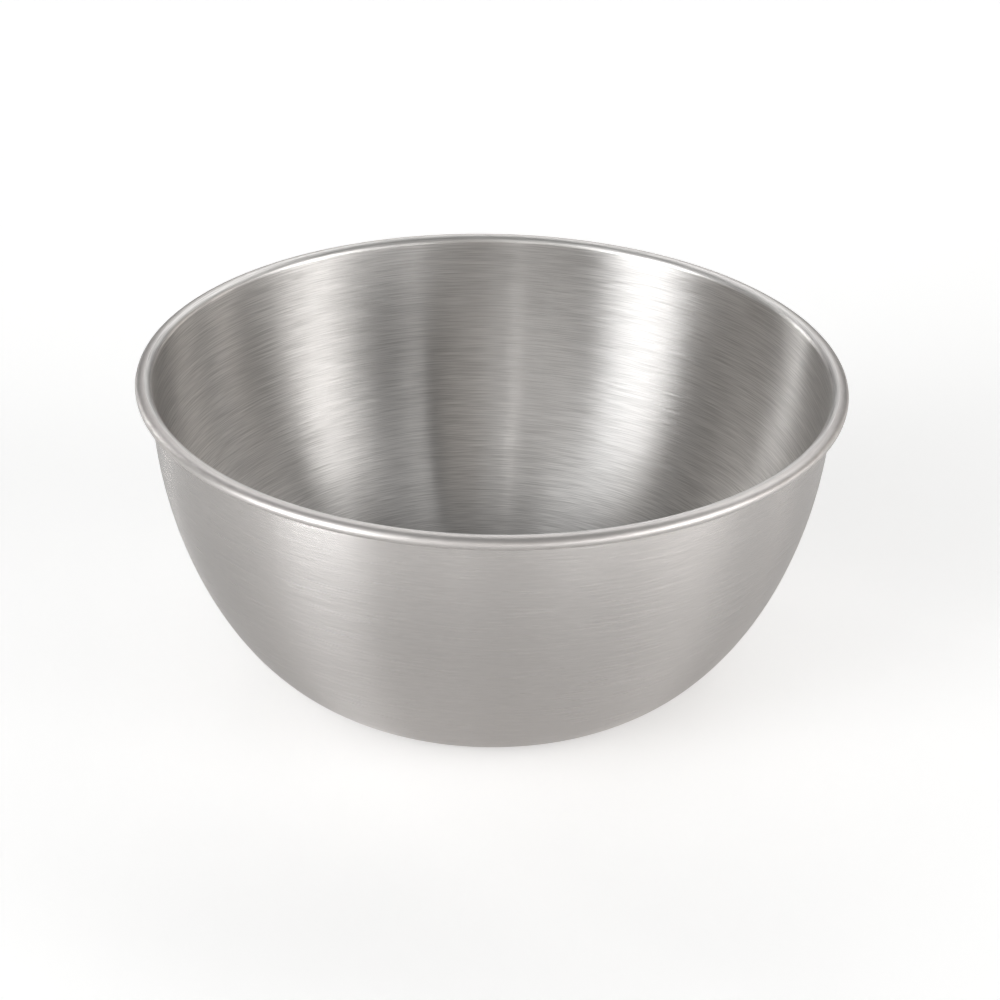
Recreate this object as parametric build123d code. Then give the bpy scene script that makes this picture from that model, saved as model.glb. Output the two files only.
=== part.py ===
"""Stainless mixing bowl: a drawn sheet shell whose rim is rolled over a core wire.

Frame: millimetres, +Z up along the bowl's axis, origin on the axis in the plane the bowl rests on.
"""

from build123d import *
from math import asin, degrees
import os

# Driving dimensions
RIM_DIAMETER = 240.0  # over the outside of the rolled bead
HEIGHT = 110.0  # resting plane to the top of the bead
BASE_DIAMETER = 114.0  # outside edge of the resting ring, where the wall starts to rise
SHEET = 0.7  # stainless sheet
BEAD_WIDTH = 5.7  # across the rolled bead's section
BEAD_HEIGHT = 4.5
WIRE_DIAMETER = 3.0  # round core wire that the bead is rolled over

# The wall is one curve. Each reach says how far it holds the direction that it has at that end.
BASE_REACH = 24.5  # outwards, level with the base
RIM_REACH = 62.0  # straight down from the bead

# On the far side of the sheet both reaches are longer by this share of the depth in it, which
# keeps the wall's two sides one sheet apart all the way up.
BASE_REACH_GAIN = 0.76
RIM_REACH_GAIN = 0.49

# The middle of the base is pushed up, so that the bowl stands on a ring and can't rock.
PUSH_UP_HEIGHT = 1.0
PUSH_UP_DIAMETER = 84.0  # flat part of the raised middle
RING_INNER_DIAMETER = 98.0  # inside edge of the resting ring

LIP_GAP = 0.2  # between the end of the curl and the outside of the wall
WIRE_GAP_ANGLE = 0.5  # degrees left open between the wire's two butted ends

# Sizes that follow from them
BEAD_HALF_WIDTH = BEAD_WIDTH / 2
BEAD_HALF_HEIGHT = BEAD_HEIGHT / 2
BEAD_CENTRE = (RIM_DIAMETER / 2 - BEAD_HALF_WIDTH, HEIGHT - BEAD_HALF_HEIGHT)  # radius, height
MOUTH_RADIUS = RIM_DIAMETER / 2 - BEAD_WIDTH  # food side of the wall where it meets the bead


# Each line below runs at a depth in the sheet: 0 on the food side, SHEET on the far side.


def base_line(depth):
    """The base, from the axis outwards: raised middle, two blend arcs, resting ring."""
    level = SHEET - depth
    blend_start = Vector(PUSH_UP_DIAMETER / 2, level + PUSH_UP_HEIGHT)
    blend_end = Vector(RING_INNER_DIAMETER / 2, level)
    halfway = (blend_start + blend_end) / 2
    middle = Line((0, blend_start.Y), blend_start)
    falling = TangentArc(blend_start, halfway, tangent=middle % 1)
    levelling = TangentArc(halfway, blend_end, tangent=falling % 1)
    ring = Line(blend_end, (BASE_DIAMETER / 2, level))
    return [middle, falling, levelling, ring]


def wall_line(depth):
    """The wall: level where it leaves the base, upright where it meets the bead."""
    foot = Vector(BASE_DIAMETER / 2, SHEET - depth)
    top = Vector(MOUTH_RADIUS + depth, BEAD_CENTRE[1])
    outwards = Vector(BASE_REACH + BASE_REACH_GAIN * depth, 0)
    upwards = Vector(0, RIM_REACH + RIM_REACH_GAIN * depth)
    return Bezier(foot, foot + outwards, top - upwards, top)


def curl_line(depth):
    """The rolled edge: up from the wall, over the wire, down, and back under to the lip."""
    lip_radius = MOUTH_RADIUS + SHEET + LIP_GAP
    tuck = degrees(asin((BEAD_CENTRE[0] - lip_radius) / BEAD_HALF_WIDTH))
    half_width = BEAD_HALF_WIDTH - depth
    half_height = BEAD_HALF_HEIGHT - depth
    return EllipticalCenterArc(
        BEAD_CENTRE, half_width, half_height, start_angle=180, arc_size=-270 - tuck
    )


def sheet_side(depth):
    return [*base_line(depth), wall_line(depth), curl_line(depth)]


def make_bowl_shell():
    """One sheet, turned about Z: both sides, joined at the lip and on the axis."""
    food_side = sheet_side(0)
    far_side = sheet_side(SHEET)
    lip_end = Line(food_side[-1] @ 1, far_side[-1] @ 1)
    axis_end = Line(food_side[0] @ 0, far_side[0] @ 0)
    section = make_face([*food_side, lip_end, *far_side, axis_end])
    return revolve(Plane.XZ * section, axis=Axis.Z)


def make_rim_wire():
    """The hoop inside the bead, open by a hair where its two ends butt together."""
    section = Plane.XZ * Location(BEAD_CENTRE) * Circle(WIRE_DIAMETER / 2)
    return revolve(section, axis=Axis.Z, revolution_arc=360 - WIRE_GAP_ANGLE)


NODES = {
    "bowl_shell": make_bowl_shell,
    "rim_wire": make_rim_wire,
}

os.makedirs("parts", exist_ok=True)
for name, make in NODES.items():
    export_step(make(), f"parts/{name}.step")
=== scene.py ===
"""Looks of the stainless mixing bowl: a fine mesh of the sheet, its finishes, studio light, camera."""

import math

import bmesh
import bpy
from mathutils import Matrix, Vector


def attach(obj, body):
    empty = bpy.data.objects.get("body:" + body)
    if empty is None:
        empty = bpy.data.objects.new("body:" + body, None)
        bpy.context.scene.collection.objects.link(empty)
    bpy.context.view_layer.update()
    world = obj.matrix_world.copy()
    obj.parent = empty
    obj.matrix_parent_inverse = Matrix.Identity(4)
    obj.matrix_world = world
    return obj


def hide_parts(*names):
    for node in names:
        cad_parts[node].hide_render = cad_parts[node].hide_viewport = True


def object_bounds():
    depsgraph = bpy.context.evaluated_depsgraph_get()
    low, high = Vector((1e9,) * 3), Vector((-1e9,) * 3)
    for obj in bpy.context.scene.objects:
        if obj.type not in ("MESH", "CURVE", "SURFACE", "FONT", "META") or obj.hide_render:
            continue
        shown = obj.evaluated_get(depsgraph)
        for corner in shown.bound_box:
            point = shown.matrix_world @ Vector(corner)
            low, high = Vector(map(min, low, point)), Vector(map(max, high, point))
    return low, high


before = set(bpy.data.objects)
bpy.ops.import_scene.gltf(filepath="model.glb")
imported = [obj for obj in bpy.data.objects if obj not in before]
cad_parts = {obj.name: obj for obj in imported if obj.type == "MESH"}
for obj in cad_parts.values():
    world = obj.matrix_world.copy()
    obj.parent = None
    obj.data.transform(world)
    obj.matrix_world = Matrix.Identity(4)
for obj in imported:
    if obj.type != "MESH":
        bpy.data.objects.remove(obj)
cad_low, cad_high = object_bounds()

# The bowl's shape, in metres. Its overall sizes come from the frame.
RIM_RADIUS = cad_high.x
HEIGHT = cad_high.z
SHEET = 0.0007
BEAD_WIDTH = 0.0057
BEAD_HEIGHT = 0.0045
BASE_RADIUS = 0.057  # outside edge of the resting ring
BASE_REACH = 0.0245  # how far the wall's curve runs level as it leaves the base
RIM_REACH = 0.062  # how far it runs straight down from the bead
BASE_REACH_GAIN = 0.76  # what both reaches gain with depth in the sheet, to keep it one thickness
RIM_REACH_GAIN = 0.49
PUSH_UP_HEIGHT = 0.001  # raised middle of the base
PUSH_UP_RADIUS = 0.042
RING_INNER_RADIUS = 0.049
LIP_GAP = 0.0002  # between the end of the curl and the wall

BEAD_CENTRE = (RIM_RADIUS - BEAD_WIDTH / 2, HEIGHT - BEAD_HEIGHT / 2)  # radius, height
MOUTH_RADIUS = RIM_RADIUS - BEAD_WIDTH

# How finely the sheet is meshed
AROUND = 288
WALL_STEPS = 56
CURL_STEPS = 40
BLEND_STEPS = 6

# The camera: a long lens. Distances are in rim radii, from the middle of the mouth.
CAMERA_ELEVATION = math.radians(28.12)
CAMERA_ROLL = math.radians(1.23)
CAMERA_DISTANCE = 8.0
AIM_RIGHT = 0.029
AIM_BELOW_RIM = 0.400
LENS = 99.8
SENSOR = 36.0


def base_line(depth):
    """Points of the base at a depth in the sheet, from the axis outwards."""
    level = SHEET - depth
    points = [(0.0, level + PUSH_UP_HEIGHT)]
    for step in range(BLEND_STEPS + 1):
        share = step / BLEND_STEPS
        fall = 3 * share**2 - 2 * share**3
        radius = PUSH_UP_RADIUS + (RING_INNER_RADIUS - PUSH_UP_RADIUS) * share
        points.append((radius, level + PUSH_UP_HEIGHT * (1 - fall)))
    return points


def wall_line(depth):
    """Points of the wall, from the base's edge up to the bead, on one cubic curve."""
    foot = Vector((BASE_RADIUS, SHEET - depth))
    top = Vector((MOUTH_RADIUS + depth, BEAD_CENTRE[1]))
    foot_handle = foot + Vector((BASE_REACH + BASE_REACH_GAIN * depth, 0))
    top_handle = top - Vector((0, RIM_REACH + RIM_REACH_GAIN * depth))
    points = []
    for step in range(WALL_STEPS):
        t = step / WALL_STEPS
        u = 1 - t
        place = u**3 * foot + 3 * u * u * t * foot_handle + 3 * u * t * t * top_handle + t**3 * top
        points.append(tuple(place))
    return points


def curl_line(depth):
    """Points of the rolled edge, from the top of the wall over the wire and back to the lip."""
    lip_radius = MOUTH_RADIUS + SHEET + LIP_GAP
    half_width = BEAD_WIDTH / 2
    tuck = math.asin((BEAD_CENTRE[0] - lip_radius) / half_width)
    turn = math.radians(270) + tuck
    points = []
    for step in range(CURL_STEPS + 1):
        angle = math.pi - turn * step / CURL_STEPS
        radius = BEAD_CENTRE[0] + (half_width - depth) * math.cos(angle)
        height = BEAD_CENTRE[1] + (BEAD_HEIGHT / 2 - depth) * math.sin(angle)
        points.append((radius, height))
    return points


def sheet_outline():
    """The sheet's outline as (radius, height): up the food side to the lip, back down outside."""
    near_side = base_line(0) + wall_line(0) + curl_line(0)
    far_side = base_line(SHEET) + wall_line(SHEET) + curl_line(SHEET)
    return near_side + far_side[::-1]


FOOD_SIDE, OUTSIDE = range(2)  # the sheet's two finishes, in the order of the material slots


def turned_ring(build, radius, height):
    """Vertices of one ring. On the axis it is a single vertex, repeated."""
    if radius == 0:
        return [build.verts.new((0, 0, height))] * AROUND
    ring = []
    for step in range(AROUND):
        angle = 2 * math.pi * step / AROUND
        ring.append(build.verts.new((radius * math.cos(angle), radius * math.sin(angle), height)))
    return ring


def make_bowl_mesh():
    """The outline turned about Z. The two finishes meet along the top of the bead."""
    outline = sheet_outline()
    top_of_bead = max(range(len(outline)), key=lambda place: outline[place][1])
    build = bmesh.new()
    rings = [turned_ring(build, radius, height) for radius, height in outline]
    for place, (inner, outer) in enumerate(zip(rings, rings[1:])):
        for step in range(AROUND):
            after = (step + 1) % AROUND
            corners = [inner[step], outer[step], outer[after], inner[after]]
            face = build.faces.new(list(dict.fromkeys(corners)))
            face.smooth = True
            face.material_index = FOOD_SIDE if place < top_of_bead else OUTSIDE
    bmesh.ops.recalc_face_normals(build, faces=build.faces)
    mesh = bpy.data.meshes.new("bowl_sheet")
    build.to_mesh(mesh)
    build.free()
    return mesh


class Shader:
    """Adds nodes to a material or world. A plain number or colour can stand in for any socket."""

    def __init__(self, owner):
        owner.use_nodes = True
        self.tree = owner.node_tree
        self.tree.nodes.clear()

    def node(self, kind, **settings):
        made = self.tree.nodes.new("ShaderNode" + kind)
        for name, value in settings.items():
            setattr(made, name, value)
        return made

    def put(self, socket, value):
        if isinstance(value, bpy.types.NodeSocket):
            self.tree.links.new(value, socket)
        else:
            socket.default_value = value

    def fill(self, sockets, values):
        for socket, value in zip(sockets, values):
            self.put(socket, value)

    def math(self, operation, *values):
        made = self.node("Math", operation=operation)
        self.fill(made.inputs, values)
        return made.outputs[0]

    def vector(self, operation, *values):
        made = self.node("VectorMath", operation=operation)
        self.fill(made.inputs, values)
        return made.outputs["Value" if operation == "LENGTH" else "Vector"]

    def scaled(self, vector, by):
        made = self.node("VectorMath", operation="SCALE")
        self.put(made.inputs[0], vector)
        self.put(made.inputs["Scale"], by)
        return made.outputs[0]

    def xyz(self, x, y, z):
        made = self.node("CombineXYZ")
        self.fill(made.inputs, (x, y, z))
        return made.outputs[0]

    def split(self, vector):
        """The x, y and z of a vector."""
        made = self.node("SeparateXYZ")
        self.put(made.inputs[0], vector)
        return made.outputs

    def step(self, value, start, end, low=0.0, high=1.0):
        """Runs smoothly from low to high as value runs from start to end."""
        made = self.node("MapRange", interpolation_type="SMOOTHSTEP")
        self.fill(made.inputs, (value, start, end, low, high))
        return made.outputs[0]

    def mix(self, share, start, end):
        """A number that goes from start to end as share goes from 0 to 1."""
        made = self.node("Mix")
        self.fill((made.inputs[0], made.inputs[2], made.inputs[3]), (share, start, end))
        return made.outputs[0]

    def mix_colour(self, share, start, end):
        made = self.node("Mix", data_type="RGBA")
        self.fill((made.inputs[0], made.inputs[6], made.inputs[7]), (share, start, end))
        return made.outputs[2]

    def noise(self, vector, scale, detail, roughness=0.5):
        made = self.node("TexNoise")
        self.put(made.inputs["Vector"], vector)
        made.inputs["Scale"].default_value = scale
        made.inputs["Detail"].default_value = detail
        made.inputs["Roughness"].default_value = roughness
        return made.outputs["Fac"]


DRIFT_SCALE = 1.3  # how quickly a stroke wanders as it runs round the bowl
STROKE_ROUGHNESS = 0.6  # strength of each finer octave in the strokes' noise
GRAIN_RANGE = (0.3, 0.7)  # noise values where the steel's tint is fully dark and fully light
BEAD_ROUGHNESS = 0.45
BEAD_ANISOTROPY = 0.4


class Turned(Shader):
    """A finish on a turned surface, with the directions and places that its strokes follow."""

    def __init__(self, name):
        self.material = bpy.data.materials.new(name)
        super().__init__(self.material)
        self.normal = self.node("NewGeometry").outputs["Normal"]
        place = self.node("TexCoord").outputs["Object"]
        x, y, self.height = self.split(place)
        squares = self.math("ADD", self.math("MULTIPLY", x, x), self.math("MULTIPLY", y, y))
        radius = self.math("SQRT", squares)
        self.turn = self.math("DIVIDE", x, radius), self.math("DIVIDE", y, radius)
        self.run = self.math("ADD", radius, self.height)  # grows all the way from the axis to the rim
        self.along = self.vector("NORMALIZE", self.vector("CROSS_PRODUCT", (0, 0, 1), place))
        self.across = self.vector("CROSS_PRODUCT", self.normal, self.along)

    def strokes(self, width, length, wander=0.0, shift=0.0, detail=2.0):
        """Noise drawn out round the axis: strokes of a width in metres and a length in radians.

        Wander is how far, in metres, they stray from level on their way round. Different shifts
        give different strokes.
        """
        turn_x, turn_y = self.turn
        place = self.run
        if wander:
            drift = self.noise(self.xyz(turn_x, turn_y, shift), DRIFT_SCALE, 1.0)
            place = self.math("MULTIPLY_ADD", drift, wander, place)
        grain = self.xyz(
            self.math("DIVIDE", turn_x, length),
            self.math("DIVIDE", turn_y, length),
            self.math("MULTIPLY_ADD", place, 1 / width, shift),
        )
        return self.noise(grain, 1.0, detail, STROKE_ROUGHNESS)

    def blend(self, first, second, share):
        """Two noises added, with a share of the first and the rest of the second."""
        return self.math("MULTIPLY_ADD", first, share, self.math("MULTIPLY", second, 1 - share))

    def centred(self, noise, amount):
        """Noise as a swing of plus or minus amount about zero."""
        return self.math("MULTIPLY_ADD", noise, 2 * amount, -amount)

    def tipped_normal(self, along, across):
        """The normal, tipped along and across the strokes."""
        tip = self.vector("ADD", self.scaled(self.along, along), self.scaled(self.across, across))
        return self.vector("NORMALIZE", self.vector("ADD", self.normal, tip))

    def tint(self, share, dark, light):
        return self.mix_colour(share, (*dark, 1), (*light, 1))

    def share_on_bead(self, fade):
        """0 on the wall and 1 on the bead. Fade is where it changes, in bead heights below the rim."""
        start, end = fade
        return self.step(self.height, HEIGHT - start * BEAD_HEIGHT, HEIGHT - end * BEAD_HEIGHT)

    def steel(self, colour, roughness, anisotropic, normal, tangent):
        """Metal whose highlights are drawn out along the tangent."""
        shader = self.node("BsdfPrincipled")
        self.put(shader.inputs["Base Color"], colour)
        shader.inputs["Metallic"].default_value = 1.0
        self.put(shader.inputs["Roughness"], roughness)
        self.put(shader.inputs["Anisotropic"], anisotropic)
        self.put(shader.inputs["Normal"], normal)
        self.put(shader.inputs["Tangent"], tangent)
        output = self.node("OutputMaterial")
        self.put(output.inputs["Surface"], shader.outputs[0])
        return self.material

    def fading_steel(self, on_bead, colour, roughness, along, across):
        """Steel with its normal tipped along and across the strokes, and no strokes on the bead."""
        normal = self.tipped_normal(self.mix(on_bead, along, 0.0), self.mix(on_bead, across, 0.0))
        roughness = self.mix(on_bead, roughness, BEAD_ROUGHNESS)
        anisotropic = self.mix(on_bead, 1.0, BEAD_ANISOTROPY)
        return self.steel(colour, roughness, anisotropic, normal, self.across)


BRUSHED_DARK = (0.53, 0.517, 0.504)
BRUSHED_LIGHT = (0.785, 0.768, 0.75)
BRUSHED_ROUGHNESS = 0.28
BRUSHED_UNEVENNESS = 0.06  # how much rougher the broad, faint bands round the wall get
BRUSHED_FADE = (0.6, 0.05)

SATIN_DARK = (0.582, 0.557, 0.542)
SATIN_LIGHT = (0.650, 0.623, 0.606)
SATIN_ROUGHNESS = 0.235
SATIN_UNEVENNESS = 0.06
SATIN_FADE = (1.0, 0.9)

# How far the strokes tip the surface: slopes along and across them
BRUSHED_ALONG = 0.018
BRUSHED_ACROSS = 0.08
SCRATCH_ALONG = 0.014
SATIN_TIP = 0.03

# Noise values where a single scratch starts and where it is deepest, tipped to either side
SCRATCH_TO_ONE_SIDE = (0.55, 0.66)
SCRATCH_TO_THE_OTHER = (0.45, 0.34)


def brushed_finish():
    """Food side: strokes of a coarse pad held against the turning bowl, fading out on the bead."""
    finish = Turned("brushed_food_side")
    on_bead = finish.share_on_bead(BRUSHED_FADE)
    fine = finish.strokes(width=0.00035, length=0.40, wander=0.002, detail=1.0)
    crossing = finish.strokes(width=0.00045, length=0.25, wander=-0.012, shift=7.3, detail=1.0)
    short = finish.strokes(width=0.0003, length=0.10, wander=0.006, shift=11.9, detail=0.0)
    broad = finish.strokes(width=0.008, length=0.6, shift=3.1)
    long_strokes = finish.blend(crossing, fine, 0.5)
    grain = finish.blend(short, long_strokes, 0.4)
    colour = finish.tint(finish.step(grain, *GRAIN_RANGE), BRUSHED_DARK, BRUSHED_LIGHT)
    roughness = finish.math("MULTIPLY_ADD", broad, BRUSHED_UNEVENNESS, BRUSHED_ROUGHNESS)

    scratches = finish.strokes(width=0.0003, length=0.12, wander=0.03, shift=21.7, detail=0.0)
    to_one_side = finish.step(scratches, *SCRATCH_TO_ONE_SIDE)
    to_the_other = finish.step(scratches, *SCRATCH_TO_THE_OTHER)
    tipped = finish.math("MULTIPLY", finish.math("SUBTRACT", to_one_side, to_the_other), SCRATCH_ALONG)

    along = finish.math("ADD", finish.centred(long_strokes, BRUSHED_ALONG), tipped)
    across = finish.centred(fine, BRUSHED_ACROSS)
    return finish.fading_steel(on_bead, colour, roughness, along, across)


def satin_finish():
    """Outside: a finer, more even satin than the food side, which stops under the bead."""
    finish = Turned("satin_outside")
    on_bead = finish.share_on_bead(SATIN_FADE)
    fine = finish.strokes(width=0.0005, length=0.20, wander=0.002)
    short = finish.strokes(width=0.0004, length=0.04, wander=0.004, shift=5.7, detail=1.0)
    grain = finish.blend(short, fine, 0.5)
    colour = finish.tint(finish.step(grain, *GRAIN_RANGE), SATIN_DARK, SATIN_LIGHT)
    roughness = finish.math("MULTIPLY_ADD", fine, SATIN_UNEVENNESS, SATIN_ROUGHNESS)
    along = finish.centred(grain, SATIN_TIP)
    across = finish.centred(fine, SATIN_TIP)
    return finish.fading_steel(on_bead, colour, roughness, along, across)


def add_bowl():
    """The sheet, in place of its CAD mesh."""
    bowl = bpy.data.objects.new("bowl_sheet", make_bowl_mesh())
    bpy.context.scene.collection.objects.link(bowl)
    for finish in (brushed_finish, satin_finish):
        bowl.data.materials.append(finish())
    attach(bowl, "root")
    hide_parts("bowl_shell")


WIRE_DARK = (0.50, 0.50, 0.49)
WIRE_LIGHT = (0.58, 0.58, 0.57)
WIRE_ROUGHNESS = 0.3
WIRE_UNEVENNESS = 0.1
WIRE_ANISOTROPY = 0.4


def finish_wire():
    """The CAD wire stays, in plain drawn steel."""
    finish = Turned("drawn_wire")
    grain = finish.strokes(width=0.0003, length=0.5)
    colour = finish.tint(grain, WIRE_DARK, WIRE_LIGHT)
    roughness = finish.math("MULTIPLY_ADD", grain, WIRE_UNEVENNESS, WIRE_ROUGHNESS)
    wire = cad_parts["rim_wire"]
    wire.data.materials.clear()
    wire.data.materials.append(
        finish.steel(colour, roughness, WIRE_ANISOTROPY, finish.normal, finish.along)
    )


FLOOR_SIZE = 12.0
FLOOR_GAP = 0.0002  # between the floor and the resting ring
FLOOR_COLOUR = (0.86, 0.86, 0.855, 1)
FLOOR_LIFT = 0.36  # brightens the floor for the camera, not for the steel
FLOOR_GLOW = 0.12  # brightens it for the steel, beyond the bowl's own shade
FLOOR_SHADE = (0.15, 0.35)  # the shade fades out between these distances from the axis


def floor_finish():
    """Matt and pale, with a little light of its own."""
    material = bpy.data.materials.new("pale_floor")
    finish = Shader(material)
    shader = finish.node("BsdfPrincipled")
    shader.inputs["Base Color"].default_value = FLOOR_COLOUR
    shader.inputs["Roughness"].default_value = 0.8
    shader.inputs["Specular IOR Level"].default_value = 0.2
    shader.inputs["Emission Color"].default_value = (1, 1, 1, 1)
    seen = finish.node("LightPath").outputs["Is Camera Ray"]
    distance = finish.vector("LENGTH", finish.node("TexCoord").outputs["Object"])
    glow = finish.step(distance, *FLOOR_SHADE, 0.0, FLOOR_GLOW)
    finish.put(shader.inputs["Emission Strength"], finish.mix(seen, glow, FLOOR_LIFT))
    output = finish.node("OutputMaterial")
    finish.put(output.inputs["Surface"], shader.outputs[0])
    return material


def add_floor():
    """A floor to stand the bowl on. It isn't part of the bowl."""
    bpy.ops.mesh.primitive_plane_add(size=FLOOR_SIZE, location=(0, 0, cad_low.z - FLOOR_GAP))
    floor = bpy.context.object
    floor.name = "floor"
    floor.data.materials.append(floor_finish())


# The studio's light, in degrees. Azimuth 0 is the camera's side, positive to its right.
# Each softbox: azimuth at the horizon, half its width, softness of its sides, how far it leans
# to the right for each degree it rises, lowest, highest, brightness, warmth. A negative
# brightness is a black flag.
SOFTBOXES = (
    (-52.8, 13, 9, -0.15, -10, 25, 7.0, -0.02),  # main light, front left
    (-50, 18, 10, 0, 28, 60, 0.6, -0.02),  # its spill above
    (-126, 1.6, 0.8, 0, -10, 30, 13.0, 0.0),  # narrow strip, back left
    (64.5, 14, 12, 0.15, -10, 31, 4.0, 0.01),  # second light, front right
    (42, 18, 5, 0, 20, 58, 0.35, 0.0),  # its spill above
    (80, 38, 20, 0, -10, 5, 3.3, 0.01),  # low reflector, right
    (33, 16, 12, 0, -10, 5, 6.5, 0.0),  # low reflector, front right
    (-58, 22, 14, 0, -10, 5, 5.2, 0.0),  # low reflector, front left
    (106, 4.5, 2, 0, -10, 22, 1.0, 0.1),  # warm strip, right
    (130, 5.5, 3, 0, -10, 22, 0.9, 0.1),  # warm strip, back right
    (170, 48, 17, 0, 37, 50, 3.2, 0.0),  # high light behind, for the bead and the floor
    (0, 70, 30, 0, 52, 85, 0.22, 0.0),  # faint ceiling in front
    (-26, 49, 45, 0, -10, 44, 0.96, 0.01),  # wide, dim wall in front
    (180, 6, 4, 0, -10, 27, 1.2, 0.0),  # dim strip, straight behind
    (8, 11.5, 4, 0.2, 8, 50, -0.2, -0.1),  # flag, in front
    (-8.5, 0.6, 0.3, 0, -10, 45, 2.8, 0.02),  # thin strip at the flag's left
    (19, 1.8, 0.5, 0.2, 18, 70, -2.5, 0.0),  # thin flag at its right
)
BOTTOM_FADE = 5  # how far a softbox's lower and upper ends fade, either side of the edge
TOP_FADE = 10
ROOM_LIGHT = 0.125  # from everywhere else
BACKDROP = 1.0  # what the camera sees past the floor


def studio_light(sky):
    """The light from each direction: the room's own and the softboxes', less what the flags take."""
    x, y, z = sky.split(sky.node("TexCoord").outputs["Generated"])
    azimuth = sky.math("DEGREES", sky.math("ARCTAN2", x, sky.math("MULTIPLY", y, -1.0)))
    elevation = sky.math("DEGREES", sky.math("ARCSINE", z))
    light = (ROOM_LIGHT, ROOM_LIGHT, ROOM_LIGHT)
    for centre, half, soft, lean, low, high, brightness, warmth in SOFTBOXES:
        middle = sky.math("MULTIPLY_ADD", elevation, lean, centre)
        off = sky.math("ABSOLUTE", sky.math("WRAP", sky.math("SUBTRACT", azimuth, middle), 180, -180))
        within_sides = sky.step(off, half + soft, half - soft)
        above_bottom = sky.step(elevation, low - BOTTOM_FADE, low + BOTTOM_FADE)
        below_top = sky.step(elevation, high + TOP_FADE, high - TOP_FADE)
        within_ends = sky.math("MULTIPLY", above_bottom, below_top)
        share = sky.math("MULTIPLY", sky.math("MULTIPLY", within_sides, within_ends), brightness)
        light = sky.vector("ADD", light, sky.scaled((1 + warmth, 1.0, 1 - warmth), share))
    return sky.vector("MAXIMUM", light, (0, 0, 0))


def light_world():
    """The studio lights the bowl; the camera itself sees a plain pale backdrop."""
    world = bpy.data.worlds.new("studio")
    bpy.context.scene.world = world
    sky = Shader(world)
    seen = sky.node("LightPath").outputs["Is Camera Ray"]
    background = sky.node("Background")
    backdrop = (BACKDROP, BACKDROP, BACKDROP, 1)
    sky.put(background.inputs["Color"], sky.mix_colour(seen, studio_light(sky), backdrop))
    output = sky.node("OutputWorld")
    sky.put(output.inputs["Surface"], background.outputs[0])


def add_camera():
    """In front and above, aimed a little below the rim."""
    right = Vector((1, 0, 0))
    back = Vector((0, -math.cos(CAMERA_ELEVATION), math.sin(CAMERA_ELEVATION)))
    up = back.cross(right)
    aim = Vector((AIM_RIGHT * RIM_RADIUS, 0, BEAD_CENTRE[1] - AIM_BELOW_RIM * RIM_RADIUS))
    place = aim + back * CAMERA_DISTANCE * RIM_RADIUS
    turned = Matrix((right, up, back)).transposed() @ Matrix.Rotation(CAMERA_ROLL, 3, "Z")
    data = bpy.data.cameras.new("camera")
    data.lens = LENS
    data.sensor_width = SENSOR
    camera = bpy.data.objects.new("camera", data)
    camera.matrix_world = Matrix.Translation(place) @ turned.to_4x4()
    bpy.context.scene.collection.objects.link(camera)
    bpy.context.scene.camera = camera


add_bowl()
finish_wire()
add_floor()
light_world()
add_camera()
bpy.context.scene.view_settings.view_transform = "Standard"
